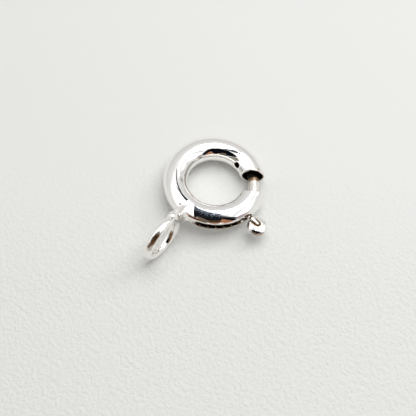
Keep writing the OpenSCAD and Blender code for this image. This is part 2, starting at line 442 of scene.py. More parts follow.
def round_corners(corners, spacing, steps=6):
    """Profile through corners of (along, radius, rounding). Each rounding is a curve of second degree
    from the straight before the corner to that after it, and each straight is cut into short pieces."""
    corners = np.array(corners, float)
    spots, rounding = corners[:, :2], corners[:, 2:3]
    toward = unit(np.diff(spots, axis=0))
    before = spots[1:-1] - toward[:-1] * rounding[1:-1]
    after = spots[1:-1] + toward[1:] * rounding[1:-1]
    t = np.linspace(0, 1, steps + 1)[:, None]
    bends = [(1 - t) ** 2 * a + 2 * t * (1 - t) * c + t ** 2 * b
             for a, c, b in zip(before, spots[1:-1], after)]
    line = [spots[:1]]
    for bend in bends + [spots[-1:]]:
        gap = np.linalg.norm(bend[0] - line[-1][-1])
        line += [rows_between(line[-1][-1], bend[0], int(gap / spacing)), bend]
    line = np.concatenate(line)
    keep = np.append(True, np.linalg.norm(np.diff(line, axis=0), axis=1) > 1e-9)
    return line[keep]


# The ring: tube, slot, punched hole, stop wall, solder and loop, as one closed surface

TUBE_ROWS = 320      # along the outside of the tube, from mouth to foot
TUBE_SIDES = 96      # round the tube
RIM_STEPS = 5        # round each edge of a cut end
LOOP_ROWS = 160      # round the loop
LOOP_SIDES = 48      # round the loop's wire
SOLDER_ROWS = 26     # from the tube to the loop
CUT_NEAR = 0.1 * MM  # rows nearer than this to a cut end are parallel to it
CUT_FADE = 0.9 * MM  # and over this distance they turn square to the tube
CUT_SHADE = 0.3, 0.95       # painted shade on a cut end's inner edge, darker from the flat cut to the bore
STOP_RINGS = 0.97, 0.7, 0.4, 0.12   # rows of the stop wall's face, as shares of the bore's radius
STOP_MARGIN = 0.01         # angle that the bore's last row keeps from that face
WAVE_FADE = 0.6 * MM       # distance from a cut end over which the polishing waves grow
# Tarnish and painted shade on the walls of the slot and of the punched hole
SLOT_WALL_SHADE = 0.45
PUNCH_WALL_SHADE = 0.6


def cut_row_turn(distance, foot, radius, lift, s, m):
    """Turn of the points of rows at a distance from a cut end, measured along the middle line. Close to
    the end it is the arc sine of the distance from the gap's middle over that from the ring's axis, and
    farther off the value of the middle line."""
    distance, radius = distance[:, None], radius[:, None]
    close = np.minimum(distance, CUT_NEAR)
    out = m.bend + radius * np.cos(lift)
    part = smooth((distance - close) / CUT_FADE)
    turned = (np.arcsin((m.half_gap + close) / out) * (1 - part)
              + np.arcsin((m.half_gap + close) / m.bend) * part + (distance - close) / m.bend)
    return np.where(foot, math.tau + s.gap_angle - turned, s.gap_angle + turned)


def polishing_wave(turn, lift):
    """Shallow waves of hand polishing, from -1 to 1: a sum of slow sines of both angles."""
    return (0.45 * np.sin(5 * turn + 1.1 * np.sin(lift) + 0.4)
            + 0.35 * np.sin(9 * turn + 2 * lift + 1.7)
            + 0.20 * np.sin(17 * turn - 3 * lift + 0.9))


HAZE_EDGE = math.radians(187.0)      # turn at which the haze starts, beside the solder
HAZE_LEVEL = math.radians(83)        # lift at which it starts there
HAZE_LEAN = 0.136                    # how much farther on it starts for each radian below that lift
HAZE_SHARP = 0.014                   # width of that edge, in radians
HAZE_FADE = np.radians([222, 242])   # turns between which it fades out
HAZE_LOW = np.radians([44, 60])      # lifts between which it comes in
HAZE_SOFT = math.radians(5)          # width of its upper edge
HAZE_HIGH = np.radians([[187, 196, 203, 217, 227, 236, 245],   # turns along that edge
                        [91, 89, 88, 85, 79, 66, 52]])         # and its lift at each
DARK_SPOT = (217, 9, 39, 5.5)   # dark spot over the slot: middle and half size of its turn, then its lift
DARK_SPOT_STRENGTH = 0.75
WORN = (-23, 18, 96, 15)     # satin spot near the mouth, in the same way
LIP_TARNISH_AND_REFLECTION = 0.30           # brown beside the slot: tarnish, and painted reflection of the shaded floor
LIP_FADE = 0.20 * MM         # distance from the slot at which it ends


def spot(turn, lift, place):
    """Spot that fades from 1 to 0 near its edge: e to the power of minus the sum of two fourth powers, of
    the distances from its middle over its half sizes. Place gives these in degrees."""
    turn, lift = np.degrees(turn), np.degrees(lift) % 360
    return np.exp(-((turn - place[0]) / place[1]) ** 4 - ((lift - place[2]) / place[3]) ** 4)


def lip_tarnish_and_reflection(turn, lift, s, m):
    """Brown beside the slot, partly tarnish and partly painted reflection of the shaded floor, which
    fades with the distance from its edge, and the dark spot above the slot.
    """
    core = np.clip(turn, m.open + math.tau, m.tail_end + math.tau)
    away = np.hypot((turn - core) * m.bend, lift * m.skin) - m.stem - s.slot_clear
    return np.maximum(LIP_TARNISH_AND_REFLECTION * (1 - smooth(away / LIP_FADE)), DARK_SPOT_STRENGTH * spot(turn, lift, DARK_SPOT))


def haze_edge(lift):
    """Turn at which the solder ends and the haze starts; the edge leans a little with the lift."""
    return HAZE_EDGE + HAZE_LEAN * (HAZE_LEVEL - lift)


def haze_mark(turn, lift):
    """Haze that the solder's heat left on top of the tube, from 0 to 1: one sharp edge, and soft edges
    on the other sides."""
    edge = smooth((turn - haze_edge(lift)) / HAZE_SHARP)
    fade = 1 - smooth((turn - HAZE_FADE[0]) / (HAZE_FADE[1] - HAZE_FADE[0]))
    low = smooth((lift - HAZE_LOW[0]) / (HAZE_LOW[1] - HAZE_LOW[0]))
    high = smooth((np.interp(turn, *HAZE_HIGH) - lift) / HAZE_SOFT)
    return edge * fade * low * high


def cut_end(shell, foot, s, m):
    """Rows round a cut end, from outside to bore: a quarter circle, the flat cut, a quarter circle."""
    bow = np.linspace(0, math.pi / 2, RIM_STEPS + 1)
    e = s.rim_round
    distance = e * np.concatenate([1 - np.sin(bow[1:]), 1 - np.cos(bow[:-1])])
    radius = np.concatenate([m.skin - e * (1 - np.cos(bow[1:])), m.bore + e * (1 - np.sin(bow[:-1]))])
    lift = lifts(TUBE_SIDES)
    tarnish_and_shade = np.concatenate([np.zeros(RIM_STEPS), np.linspace(*CUT_SHADE, RIM_STEPS)])
    turn = cut_row_turn(distance, foot, radius, lift, s, m)
    return shell.add(around_ring(turn, lift, radius[:, None], m.bend), tarnish_and_shade[:, None])


def stop_face(shell, turn, m):
    """Rows of the stop wall's face, from the bore to near its middle."""
    radius = m.bore * np.array(STOP_RINGS)[:, None]
    lift = lifts(TUBE_SIDES)
    # Painted shade: the stop wall's face is painted near black, like the bore
    return shell.add(around_ring(turn, lift, radius, m.bend), 1.0)


def add_tube(shell, s, f, m):
    """The tube's wall with its holes: pole, stop face, bore, mouth, outside, foot, bore, face, pole."""
    def swell(turn, lift):
        return f.wave * polishing_wave(turn, lift)

    lift = lifts(TUBE_SIDES)
    half = m.bend * (math.pi - math.asin((m.half_gap + CUT_NEAR) / m.bend)) + CUT_NEAR
    distance = np.linspace(s.rim_round, 2 * half - s.rim_round, TUBE_ROWS + 1)
    foot = (distance > half)[:, None]
    distance = np.minimum(distance, 2 * half - distance)
    turns = [cut_row_turn(distance, foot, np.full(distance.shape, r), lift, s, m)
             for r in (m.skin, m.bore)]
    level = smooth((distance - s.rim_round) / WAVE_FADE)[:, None]
    outer = Sheet(shell, turns[0], TUBE_SIDES, m.skin, m.bend, swell, lip_tarnish_and_reflection(turns[0], lift, s, m),
                  haze_mark(turns[0], lift), spot(turns[0], lift, WORN))
    shell.points[-1][:] = around_ring(outer.turn, lift, m.skin + level * swell(outer.turn, lift),
                                      m.bend).reshape(-1, 3)
    # Painted shade: the whole bore is painted near black
    inner = Sheet(shell, turns[1], TUBE_SIDES, m.bore, m.bend, tarnish_and_shade=1.0)
    Window(m.open + math.tau, m.trigger + math.tau, 0.0, m.stem + s.slot_clear,
           s.slot_round).pierce(shell, outer, inner, 3, SLOT_WALL_SHADE,
                                lambda turn, lift: lip_tarnish_and_reflection(turn, lift, s, m))
    Window(m.punch, m.punch, math.pi - s.punch_lift, s.punch_across / 2,
           s.punch_round).pierce(shell, outer, inner, 2, PUNCH_WALL_SHADE, clean)

    middle = inner.turn[:, TUBE_SIDES // 4]
    before, behind = np.searchsorted(middle, [m.stop - STOP_MARGIN, m.stop_back + STOP_MARGIN])
    front, back = stop_face(shell, m.stop, m), stop_face(shell, m.stop_back, m)
    mouth_end, foot_end = cut_end(shell, False, s, m), cut_end(shell, True, s, m)
    shell.pole(front[-1], around_ring(m.stop, 0.0, 0.0, m.bend), 1.0, first=True)
    shell.skin([*front[::-1], inner.numbers[before - 1]])
    shell.skin(inner.numbers[:before][::-1], inner.hidden[:before - 1][::-1])
    shell.skin([inner.numbers[0], *mouth_end[::-1], outer.numbers[0]])
    shell.skin([outer.numbers[-1], *foot_end, inner.numbers[-1]])
    shell.skin(inner.numbers[behind:][::-1], inner.hidden[behind:][::-1])
    shell.skin([inner.numbers[behind], *back])
    shell.pole(back[-1], around_ring(m.stop_back, 0.0, 0.0, m.bend), 1.0)
    return outer


def on_loop(turn, lift, m):
    """Loop point: turn is the angle about the loop's axis, from the tube over the top, and lift the
    angle round its wire, from the loop's outer side towards the trigger's side."""
    out = m.loop + m.wire * np.cos(lift)
    return np.stack(np.broadcast_arrays(out * np.cos(turn) - LOOP_REACH,
                                        -m.wire * np.sin(lift), out * np.sin(turn)), -1)


# Painted reflection of the shaded floor on the loop, as brown spots: how brown, then middle and half size of
# the turn, then of the lift
LOOP_REFLECTION_SPOTS = ((0.6, (124, 16, 36, 32)), (0.36, (149, 11, 32, 36)), (0.45, (320, 16, 168, 26)))


def loop_reflection(turn, lift):
    """Painted reflection on the loop, in brown: the sum of its spots, from 0 to 1."""
    return sum(brown * spot(turn, lift, place) for brown, place in LOOP_REFLECTION_SPOTS)


LUMP_AT = np.array([-3.68, 0.07, 0.86]) * MM   # middle of the oval of solder at the loop's root
LUMP = np.array([0.64, 0.36, 0.325]) * MM      # its half sizes: along, out, aside
LUMP_LEAN = math.radians(40)                   # lean of its long axis from the ring's axis
LUMP_SATIN = 0.5
LUMP_ROWS, LUMP_SIDES = 24, 40
BEAD_START = math.radians(173)   # turn at which the bead of solder rises from the tube
BEAD_HIGH = math.radians(96)     # lift of the far side of its flat top
BEAD_LEVEL = math.radians(69)    # lift at which that top touches the tube
BEAD_LOW = math.radians(42)      # lift of its lower side
BEAD_TURN_IN = 0.1               # how far that side goes on under the bead, in radians
BEAD_RISE = 0.4                  # share of the bead's length over which it rises
BEAD_FOOT = 0.03 * MM            # depth of its lower side's end under the tube's skin
BEAD_BASE = 0.07 * MM            # depth of its base under that skin
BEAD_LIFT = 0.004 * MM           # how much higher the whole section lies once it has risen
BEAD_TOP, BEAD_SIDE, BEAD_ROWS = 26, 6, 40   # points over its top and side, and rows along it
BEAD_END = np.array([[0.75, 0.3], [0.005, 0.008]])   # height and place of the rows that round its end


def add_bead(shell, m):
    """Bead of solder that ends beside the haze. Its section is carried along the tube: a flat top, whose
    radius is the tube's over the cosine of the angle from where it touches, a round lower side, and a
    base inside the wall."""
    step = np.linspace(0, 1, BEAD_TOP)
    top = BEAD_HIGH * (1 - step) + BEAD_LOW * step
    base = top[::-5]
    height = m.skin / np.cos(np.maximum(BEAD_LEVEL - top, 0)) - m.skin
    bow = np.linspace(0, math.pi / 2, BEAD_SIDE + 1)[1:]
    lift = np.concatenate([top, BEAD_LOW - BEAD_TURN_IN * np.sin(bow), base])
    height = np.concatenate([height, height[-1] * np.cos(bow) - BEAD_FOOT * np.sin(bow),
                             np.full(len(base), -BEAD_BASE)])
    part = np.append(np.linspace(0, 1, BEAD_ROWS), [1.0, 1.0])[:, None]
    rise = smooth(part / BEAD_RISE) * np.append(np.ones(BEAD_ROWS), BEAD_END[0])[:, None]
    onward = np.append(np.zeros(BEAD_ROWS), BEAD_END[1])[:, None]
    turn = BEAD_START + part * (haze_edge(lift) - BEAD_START) + onward
    points = around_ring(turn, lift, m.skin + np.where(height > 0, height * rise, height)
                         + BEAD_LIFT * (rise - 0.5), m.bend)
    rows = shell.add(points, satin=1.0)
    shell.skin(rows)
    shell.pole(rows[0], points[0].mean(axis=0), first=True)
    shell.pole(rows[-1], points[-1].mean(axis=0))


def add_lump(shell):
    """Solder that thickens the wire where it leaves the tube: an oval, the middle plus each half size
    times the sine or cosine of its two angles."""
    turn = (np.arange(1, LUMP_ROWS) * math.pi / LUMP_ROWS)[:, None]
    round_it = circle(LUMP_SIDES)
    along, out, side = np.broadcast_arrays(np.cos(turn), np.sin(turn) * np.cos(round_it),
                                           np.sin(turn) * np.sin(round_it))
    c, s = math.cos(LUMP_LEAN), math.sin(LUMP_LEAN)
    axes = np.array([[s, 0, -c], [c, 0, s], [0, 1, 0]]) * LUMP[:, None]
    rows = shell.add(LUMP_AT + np.stack([along, out, side], -1) @ axes, satin=LUMP_SATIN)
    shell.skin(rows)
    shell.pole(rows[0], LUMP_AT + axes[0], first=True)
    shell.pole(rows[-1], LUMP_AT - axes[0])


# Solder between tube and loop. It covers an oval on each, whose middle and half size are given as
# turn and lift, and which lies in a rectangle that is left out of each.
TUBE_HOLE = 11                         # rows of the tube on each side of the seam that are left out
TUBE_COLUMNS = 33, 71                  # the first and last of the tube's columns that are left out
LOOP_MIDDLE = 2                        # row of the loop at the middle of the solder
LOOP_HOLE = 18, 12                     # rows and columns of the loop on each side that are left out
TUBE_OVAL_LIFT = math.radians(14)
TUBE_OVAL = 0.5 * MM, math.radians(63)            # half width along the tube, and half size of the lift
LOOP_OVAL = math.radians(33), math.radians(78)
SOLDER_PULL = 0.75 * MM                # how far it keeps the direction in which it leaves each surface
SOLDER_AHEAD = 0.04                    # step across the oval's edge that gives that direction
SOLDER_SATIN = 0.4
TUBE_STEPS, LOOP_STEPS = 6, 2          # rows between an oval and its rectangle


def add_loop(shell, outer, m):
    """The loop's wire, joined to the tube by solder. The solder leaves the tube along its surface and
    comes to the wire along the wire's own, on cubic curves between an oval on each."""
    lift = lifts(LOOP_SIDES)
    turn = circle(LOOP_ROWS)
    loop = shell.add(on_loop(turn[:, None], lift, m), loop_reflection(turn[:, None], lift))

    # Rectangles that are left out of the tube and of the loop, of equal length round
    seam = int(np.searchsorted(outer.turn[:, 0], math.pi))
    numbers_t, turn_t, lift_t = outer.open_up(seam - TUBE_HOLE, seam + TUBE_HOLE, *TUBE_COLUMNS)
    low, high = LOOP_MIDDLE - LOOP_HOLE[0], LOOP_MIDDLE + LOOP_HOLE[0]
    left, right = LOOP_SIDES // 2 - LOOP_HOLE[1], LOOP_SIDES // 2 + LOOP_HOLE[1]
    column, row = walk(left, right, low, high)
    hidden = np.zeros((LOOP_ROWS, LOOP_SIDES), bool)
    hidden[np.ix_(np.arange(low, high) % LOOP_ROWS, np.arange(left, right))] = True
    numbers_l = loop[row % LOOP_ROWS, column % LOOP_SIDES]
    turn_l, lift_l = row * math.tau / LOOP_ROWS, column * math.tau / LOOP_SIDES - math.pi

    # Ovals that the solder covers: middle and half size, on the tube and on the loop
    mid_t, half_t = (math.pi, TUBE_OVAL_LIFT), (TUBE_OVAL[0] / (m.bend + m.skin), TUBE_OVAL[1])
    mid_l, half_l = (LOOP_MIDDLE * math.tau / LOOP_ROWS, 0.0), LOOP_OVAL
    seen_t = (turn_t - mid_t[0]) / half_t[0] + 1j * (lift_t - mid_t[1]) / half_t[1]
    seen_l = (lift_l - mid_l[1]) / half_l[1] + 1j * (turn_l - mid_l[0]) / half_l[0]
    way = np.angle(seen_t / abs(seen_t) + seen_l / abs(seen_l))

    def tube_oval(size):
        return mid_t[0] + size * half_t[0] * np.cos(way), mid_t[1] + size * half_t[1] * np.sin(way)

    def loop_oval(size):
        return mid_l[0] + size * half_l[0] * np.sin(way), mid_l[1] + size * half_l[1] * np.cos(way)

    start, end = outer.point(*tube_oval(1.0)), on_loop(*loop_oval(1.0), m)
    leave = unit(outer.point(*tube_oval(1 - SOLDER_AHEAD)) - start)
    arrive = unit(on_loop(*loop_oval(1 + SOLDER_AHEAD), m) - end)
    v = np.linspace(0, 1, SOLDER_ROWS)[:, None, None]
    solder = ((2 * v**3 - 3 * v**2 + 1) * start + (v**3 - 2 * v**2 + v) * SOLDER_PULL * leave
              + (3 * v**2 - 2 * v**3) * end + (v**3 - v**2) * SOLDER_PULL * arrive)
    edge_t, edge_l = tube_oval(1.0), loop_oval(1.0)
    beside = rows_between(turn_t, edge_t[0], TUBE_STEPS), rows_between(lift_t, edge_t[1], TUBE_STEPS)
    beyond = rows_between(edge_l[0], turn_l, LOOP_STEPS), rows_between(edge_l[1], lift_l, LOOP_STEPS)
    shell.skin([numbers_t,
                *shell.add(outer.point(*beside), haze=haze_mark(*beside)),
                *shell.add(solder, satin=SOLDER_SATIN * np.sin(math.pi * v[..., 0])),
                *shell.add(on_loop(*beyond, m)),
                numbers_l])
    shell.skin(np.concatenate([loop, loop[:1]]), hidden)
    shell.skin(outer.numbers, outer.hidden)


# Materials

# Scales of the noises, in waves for each metre
CLOUD, STAIN, SPECKLE = 2600.0, 5200.0, 13000.0   # polish, tarnish and haze
STREAK, SCRATCH = 9000.0, 7000.0                  # along the ring, and anyhow
BEND = 2.3 * MM          # radius of the tube's middle line, by which the streaks are measured
STREAK_STRETCH = 14.0    # how much longer than wide the streaks are
SPECKLE_HEIGHT = 3.0e-6  # height of the haze's specks, in metres
SATIN = 0.36             # roughness that full satin adds
SHADE = 0.975            # brightness of the silver's darker clouds


def shader(tree, kind, inputs=None, **settings):
    """A shader node, with settings such as its operation, and inputs that are values or sockets."""
    node = tree.nodes.new("ShaderNode" + kind)
    for name, value in settings.items():
        setattr(node, name, value)
    for name, value in (inputs or {}).items():
        if isinstance(value, bpy.types.NodeSocket):
            tree.links.new(value, node.inputs[name])
        else:
            node.inputs[name].default_value = value
    return node


def new_material(name):
    material = bpy.data.materials.new(name)
    material.use_nodes = True
    material.node_tree.nodes.clear()
    return material, material.node_tree


def finish_material(tree, surface):
    shader(tree, "OutputMaterial", {"Surface": surface})


def rgba(value):
    return (*value, 1.0)


def mixed(tree, factor, a, b):
    """Colour a where the factor is 0, and b where it is 1."""
    node = shader(tree, "Mix", data_type="RGBA")
    for socket, value in zip([node.inputs[0], node.inputs[6], node.inputs[7]], (factor, a, b)):
        if isinstance(value, bpy.types.NodeSocket):
            tree.links.new(value, socket)
        else:
            socket.default_value = value
    return node.outputs[2]


def ranged(tree, value, low, high, to_low, to_high):
    """A value carried from one range to another, and held inside it."""
    return shader(tree, "MapRange", {"Value": value, "From Min": low, "From Max": high,
                                     "To Min": to_low, "To Max": to_high}).outputs["Result"]


def noise(tree, vector, scale, detail=3.0, roughness=0.5):
    return shader(tree, "TexNoise", {"Vector": vector, "Scale": scale, "Detail": detail,
                                     "Roughness": roughness}).outputs["Fac"]


def sum_of(tree, *terms):
    """Sum of values or sockets."""
    total = terms[0]
    for term in terms[1:]:
        total = shader(tree, "Math", {0: total, 1: term}, operation="ADD").outputs[0]
    return total


def times(tree, a, b):
    return shader(tree, "Math", {0: a, 1: b}, operation="MULTIPLY").outputs[0]


def along_ring(tree, stretch):
    """Place for streaks that run along the tube: distance from the ring's axis, height along that axis,
    and the way round it divided by stretch."""
    place = shader(tree, "VectorMath", {0: shader(tree, "TexCoord").outputs["Object"],
                                        1: tuple(RING_MIDDLE)}, operation="SUBTRACT").outputs[0]
    x, y, z = (shader(tree, "VectorMath", {0: place, 1: tuple(axis)},
                      operation="DOT_PRODUCT").outputs["Value"] for axis in RING_AXES)
    level = shader(tree, "CombineXYZ", {"X": x, "Y": y}).outputs[0]
    out = shader(tree, "VectorMath", {0: level}, operation="LENGTH").outputs["Value"]
    turn = shader(tree, "Math", {0: y, 1: x}, operation="ARCTAN2").outputs[0]
    way = times(tree, turn, BEND / stretch)
    return shader(tree, "CombineXYZ", {"X": out, "Y": z, "Z": way}).outputs[0]


def metal_material(name, tint, f, polish, streak, scratch):
    """Polished metal. Streaks that run along the ring and scratches that run anyhow bend its mirror
    image, at heights in metres; its polish varies in soft clouds. The darkening mark takes it through
    brown to near black: partly tarnish, and partly painted shade in the bore, holes and crevices and
    painted reflection of the shaded floor. "haze" makes it rough, speckled and bluish, and "satin" only
    rough."""
    if name in bpy.data.materials:
        return bpy.data.materials[name]
    material, tree = new_material(name)
    place = shader(tree, "TexCoord").outputs["Object"]
    tarnish_and_shade, haze, satin = (shader(tree, "Attribute", attribute_name=mark).outputs["Fac"]
                         for mark in ("tarnish_and_shade", "haze", "satin"))
    cloud = noise(tree, place, CLOUD)
    stain = ranged(tree, noise(tree, place, STAIN, 4.0), 0.35, 0.7, -0.12, 0.12)
    # Painted shade and reflection, with some tarnish: the darkening mark turns the colour brown, then near
    # black
    darkening = sum_of(tree, tarnish_and_shade, times(tree, ranged(tree, tarnish_and_shade, 0.02, 0.3, 0.0, 1.0), stain))
    speckle = noise(tree, place, SPECKLE, 2.0, 0.7)

    bright = mixed(tree, ranged(tree, cloud, 0.35, 0.65, 0.0, 1.0), rgba(tint),
                   rgba([SHADE * c for c in tint]))
    hazed = mixed(tree, haze, bright, mixed(tree, ranged(tree, speckle, 0.50, 0.64, 0.0, 1.0),
                                            rgba(f.scale_tint), rgba(f.haze_tint)))
    browned = mixed(tree, ranged(tree, darkening, 0.12, 0.5, 0.0, 1.0), hazed, rgba(f.tarnish))
    base = mixed(tree, ranged(tree, darkening, 0.5, 0.95, 0.0, 1.0), browned, rgba(f.bore))

    rough = sum_of(tree, ranged(tree, cloud, 0.4, 0.7, polish, polish * 1.8), times(tree, satin, SATIN),
                   times(tree, haze, ranged(tree, speckle, 0.35, 0.65, f.haze * 0.6, f.haze)),
                   ranged(tree, darkening, 0.05, 0.4, 0.0, 0.3))
    streaks = noise(tree, along_ring(tree, STREAK_STRETCH), STREAK, 3.0, 0.6)
    height = sum_of(tree, times(tree, streaks, streak),
                    times(tree, noise(tree, place, SCRATCH, 2.0), scratch),
                    times(tree, times(tree, speckle, haze), SPECKLE_HEIGHT))
    bump = shader(tree, "Bump", {"Height": height, "Strength": 1.0, "Distance": 1.0})
    bsdf = shader(tree, "BsdfPrincipled", {"Base Color": base, "Roughness": rough, "Metallic": 1.0,
                                           "Normal": bump.outputs[0]})
    finish_material(tree, bsdf.outputs[0])
    return material


def polished_silver(f):
    """Mirror polish of the ring, the loop and the knob."""
    return metal_material("mirror_silver", f.silver, f, f.polish, 4.5e-7, 1.2e-7)


def bolt_silver(f):
    """Drawn silver wire, rubbed along its length by the sliding."""
    return metal_material("drawn_silver", f.bolt, f, f.polish * 2.2, 9.0e-7, 2.0e-7)


def spring_bronze(f):
    """Thin drawn wire with a bronze skin."""
    return metal_material("bronzed_wire", f.spring, f, 0.2, 4.0e-7, 4.0e-7)


# Panel and operators

def begin(context):
    """Sizes, finish, measures and an empty shell, for the piece that an operator adds."""
    s, f = context.scene.clasp_sizes, context.scene.clasp_finish
    return s, f, measures(s), Shell()


class MESH_OT_clasp_ring(bpy.types.Operator):
    """Adds the ring with its slot, hole, solder and loop"""
    bl_idname = "mesh.clasp_ring"
    bl_label = "Clasp Ring"

    def execute(self, context):
        s, f, m, shell = begin(context)
        add_loop(shell, add_tube(shell, s, f, m), m)
        add_bead(shell, m)
        add_lump(shell)
        ring = shell.build("polished_ring", polished_silver(f))
        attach(ring, "ring")
        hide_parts("ring")
        return {"FINISHED"}


class MESH_OT_clasp_bolt(bpy.types.Operator):
    """Adds the curved bolt with its thick tail and the seat of the stem"""
    bl_idname = "mesh.clasp_bolt"
    bl_label = "Clasp Bolt"

    SIDES = 64
    SPACING = 0.05 * MM       # between the rows of a straight stretch
    STEP_ROUND = 0.03 * MM    # rounding at the foot of the step from tail to bolt
    DOME_ROWS = 10
    SEAT_ROUND = 0.015 * MM
    # Tarnish and painted shade in the stem's seat
    SEAT_SHADE = 0.6
    # Painted shade towards the mouth, where the bolt goes into the tube, in two steps: how much, how far
    # before the mouth, over which angle
    MOUTH_SHADE = ((0.55, 0.23, 0.05), (0.45, 0.13, 0.04))

    def execute(self, context):
        s, f, m, shell = begin(context)
        tail = (m.tail_front - m.tail_end) * m.bend
        dome = (m.tip - m.tail_end) * m.bend
        line = round_corners([(0, 0, 0), (0, m.tail, s.tail_round), (tail, m.tail, s.tail_round),
                              (tail, m.bolt, self.STEP_ROUND), (dome, m.bolt, 0)], self.SPACING)
        bow = np.linspace(0, math.pi / 2, self.DOME_ROWS + 2)[1:-1]
        line = np.concatenate([line, np.stack([dome + m.bolt * np.sin(bow), m.bolt * np.cos(bow)], 1)])
        turn = m.tail_end + line[1:, :1] / m.bend
        lift = lifts(self.SIDES)
        inside = sum(painted_shade * smooth((turn - m.mouth + before) / over) for painted_shade, before, over in self.MOUTH_SHADE)
        rows = shell.add(around_ring(turn, lift, line[1:, 1:], m.bend), inside)

        on_tail = np.flatnonzero(np.isclose(line[1:, 1], m.tail))
        sheet = Sheet(Shell(), turn[on_tail], self.SIDES, m.tail, m.bend)
        sheet.numbers = rows[on_tail]
        Window(m.trigger, m.trigger, 0.0, m.stem + s.seat_clear, self.SEAT_ROUND).sink(
            shell, sheet, -s.stem_root - s.seat_clear, 1, self.SEAT_SHADE)
        hidden = np.zeros((len(rows) - 1, self.SIDES), bool)
        hidden[on_tail[:-1]] = sheet.hidden
        shell.skin(rows, hidden)
        shell.pole(rows[0], around_ring(m.tail_end, 0.0, 0.0, m.bend), first=True)
        # Painted shade: the tip inside the mouth is painted near black
        shell.pole(rows[-1], around_ring(m.tip + m.bolt / m.bend, 0.0, 0.0, m.bend), 1.0)
        bolt = shell.build("bolt_wire", bolt_silver(f))
        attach(bolt, "bolt")
        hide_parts("bolt")
        return {"FINISHED"}


KNOB_FULLNESS = 2.3       # 2 gives the knob an oval section, and more a boxier one
KNOB_FILLET = 0.03 * MM   # rounding of the corner between knob and ridge
KNOB_SHADE_WIDTH = 0.12 * MM     # width of the painted shade, with some tarnish, in that corner
KNOB_DARK = 0.95          # strength of that painted shade
ROOT_DARK = 0.8           # and of the painted shade where the knob is nearest to the tube
ROOT_PLACE = 0.02 * MM, 0.09 * MM   # where that one starts, inwards of the ridge's end, and its width
KNOB_REFLECTION = 0.37          # strength of a painted brown reflection on one side of the knob's flank
KNOB_REFLECTION_AT = math.radians(-42)    # its direction, from the way out
KNOB_REFLECTION_SIDE = 0.45, 0.4          # cosine at which it starts, and over which it deepens
KNOB_REFLECTION_UP = 0.1, 0.5   # its middle and half height, as shares of half the knob's height


def knob_reach(way, s, m):
    """Distance to the skin of the knob and its ridge, for unit vectors that leave the knob's middle: out
    from the ring, along it, and up. The knob itself is a round of fullness n: one over the n-th root of
    the sum of (level part over half width) and (upright part over half height), each to the power n. The
    ridge is a bar with round ends, and the outermost place where the line leaves it. The larger of the two
    counts, with a smooth join."""
    x, y, z = np.moveaxis(way, -1, 0)
    n = KNOB_FULLNESS
    knob = ((np.hypot(x, y) / m.knob) ** n + (abs(z) / (s.knob_height / 2)) ** n) ** (-1 / n)
    up, start = s.ridge_up + s.knob_drop, m.ridge_at - m.knob_at
    across = np.maximum(y * y + z * z, 1e-9)
    root = (z * up) ** 2 - across * (up ** 2 - m.ridge ** 2)
    bar = (z * up + np.sqrt(np.maximum(root, 0))) / across
    bar = np.where((root > 0) & (bar * x >= start) & (bar * x <= 0), bar, 0.0)
    for end in (start, 0.0):
        toward = x * end + z * up
        root = toward ** 2 - (end ** 2 + up ** 2 - m.ridge ** 2)
        bar = np.maximum(bar, np.where(root > 0, toward + np.sqrt(np.maximum(root, 0)), 0.0))
    near = np.maximum(1 - abs(knob - bar) / KNOB_FILLET, 0)
    return np.maximum(knob, bar) + KNOB_FILLET / 4 * near ** 2, knob


def knob_shade_and_reflection(points, reach, knob, s, m):
    """Painted shade, with some tarnish, in the corner between knob and ridge: full where both skins are
    near, and gone at the shade's width from the farther one; painted shade where the knob is nearest
    the tube. A painted brown reflection lies on one side of the knob's flank."""
    up, start = s.ridge_up + s.knob_drop, m.ridge_at - m.knob_at
    bar = np.stack([np.clip(points[..., 0], start, 0), 0 * reach, 0 * reach + up], -1)
    away = np.maximum(np.linalg.norm(points - bar, axis=-1) - m.ridge, reach - knob)
    root = 1 - smooth((points[..., 0] - start + ROOT_PLACE[0]) / ROOT_PLACE[1])
    side = np.cos(np.arctan2(points[..., 1], points[..., 0]) - KNOB_REFLECTION_AT)
    height = points[..., 2] / (s.knob_height / 2)
    # Painted reflection: a brown crescent on one side of the flank
    film = (KNOB_REFLECTION * smooth((side - KNOB_REFLECTION_SIDE[0]) / KNOB_REFLECTION_SIDE[1])
            * np.exp(-((height - KNOB_REFLECTION_UP[0]) / KNOB_REFLECTION_UP[1]) ** 4))
    return np.maximum(np.maximum(KNOB_DARK * (1 - smooth(away / KNOB_SHADE_WIDTH)), ROOT_DARK * root), film)


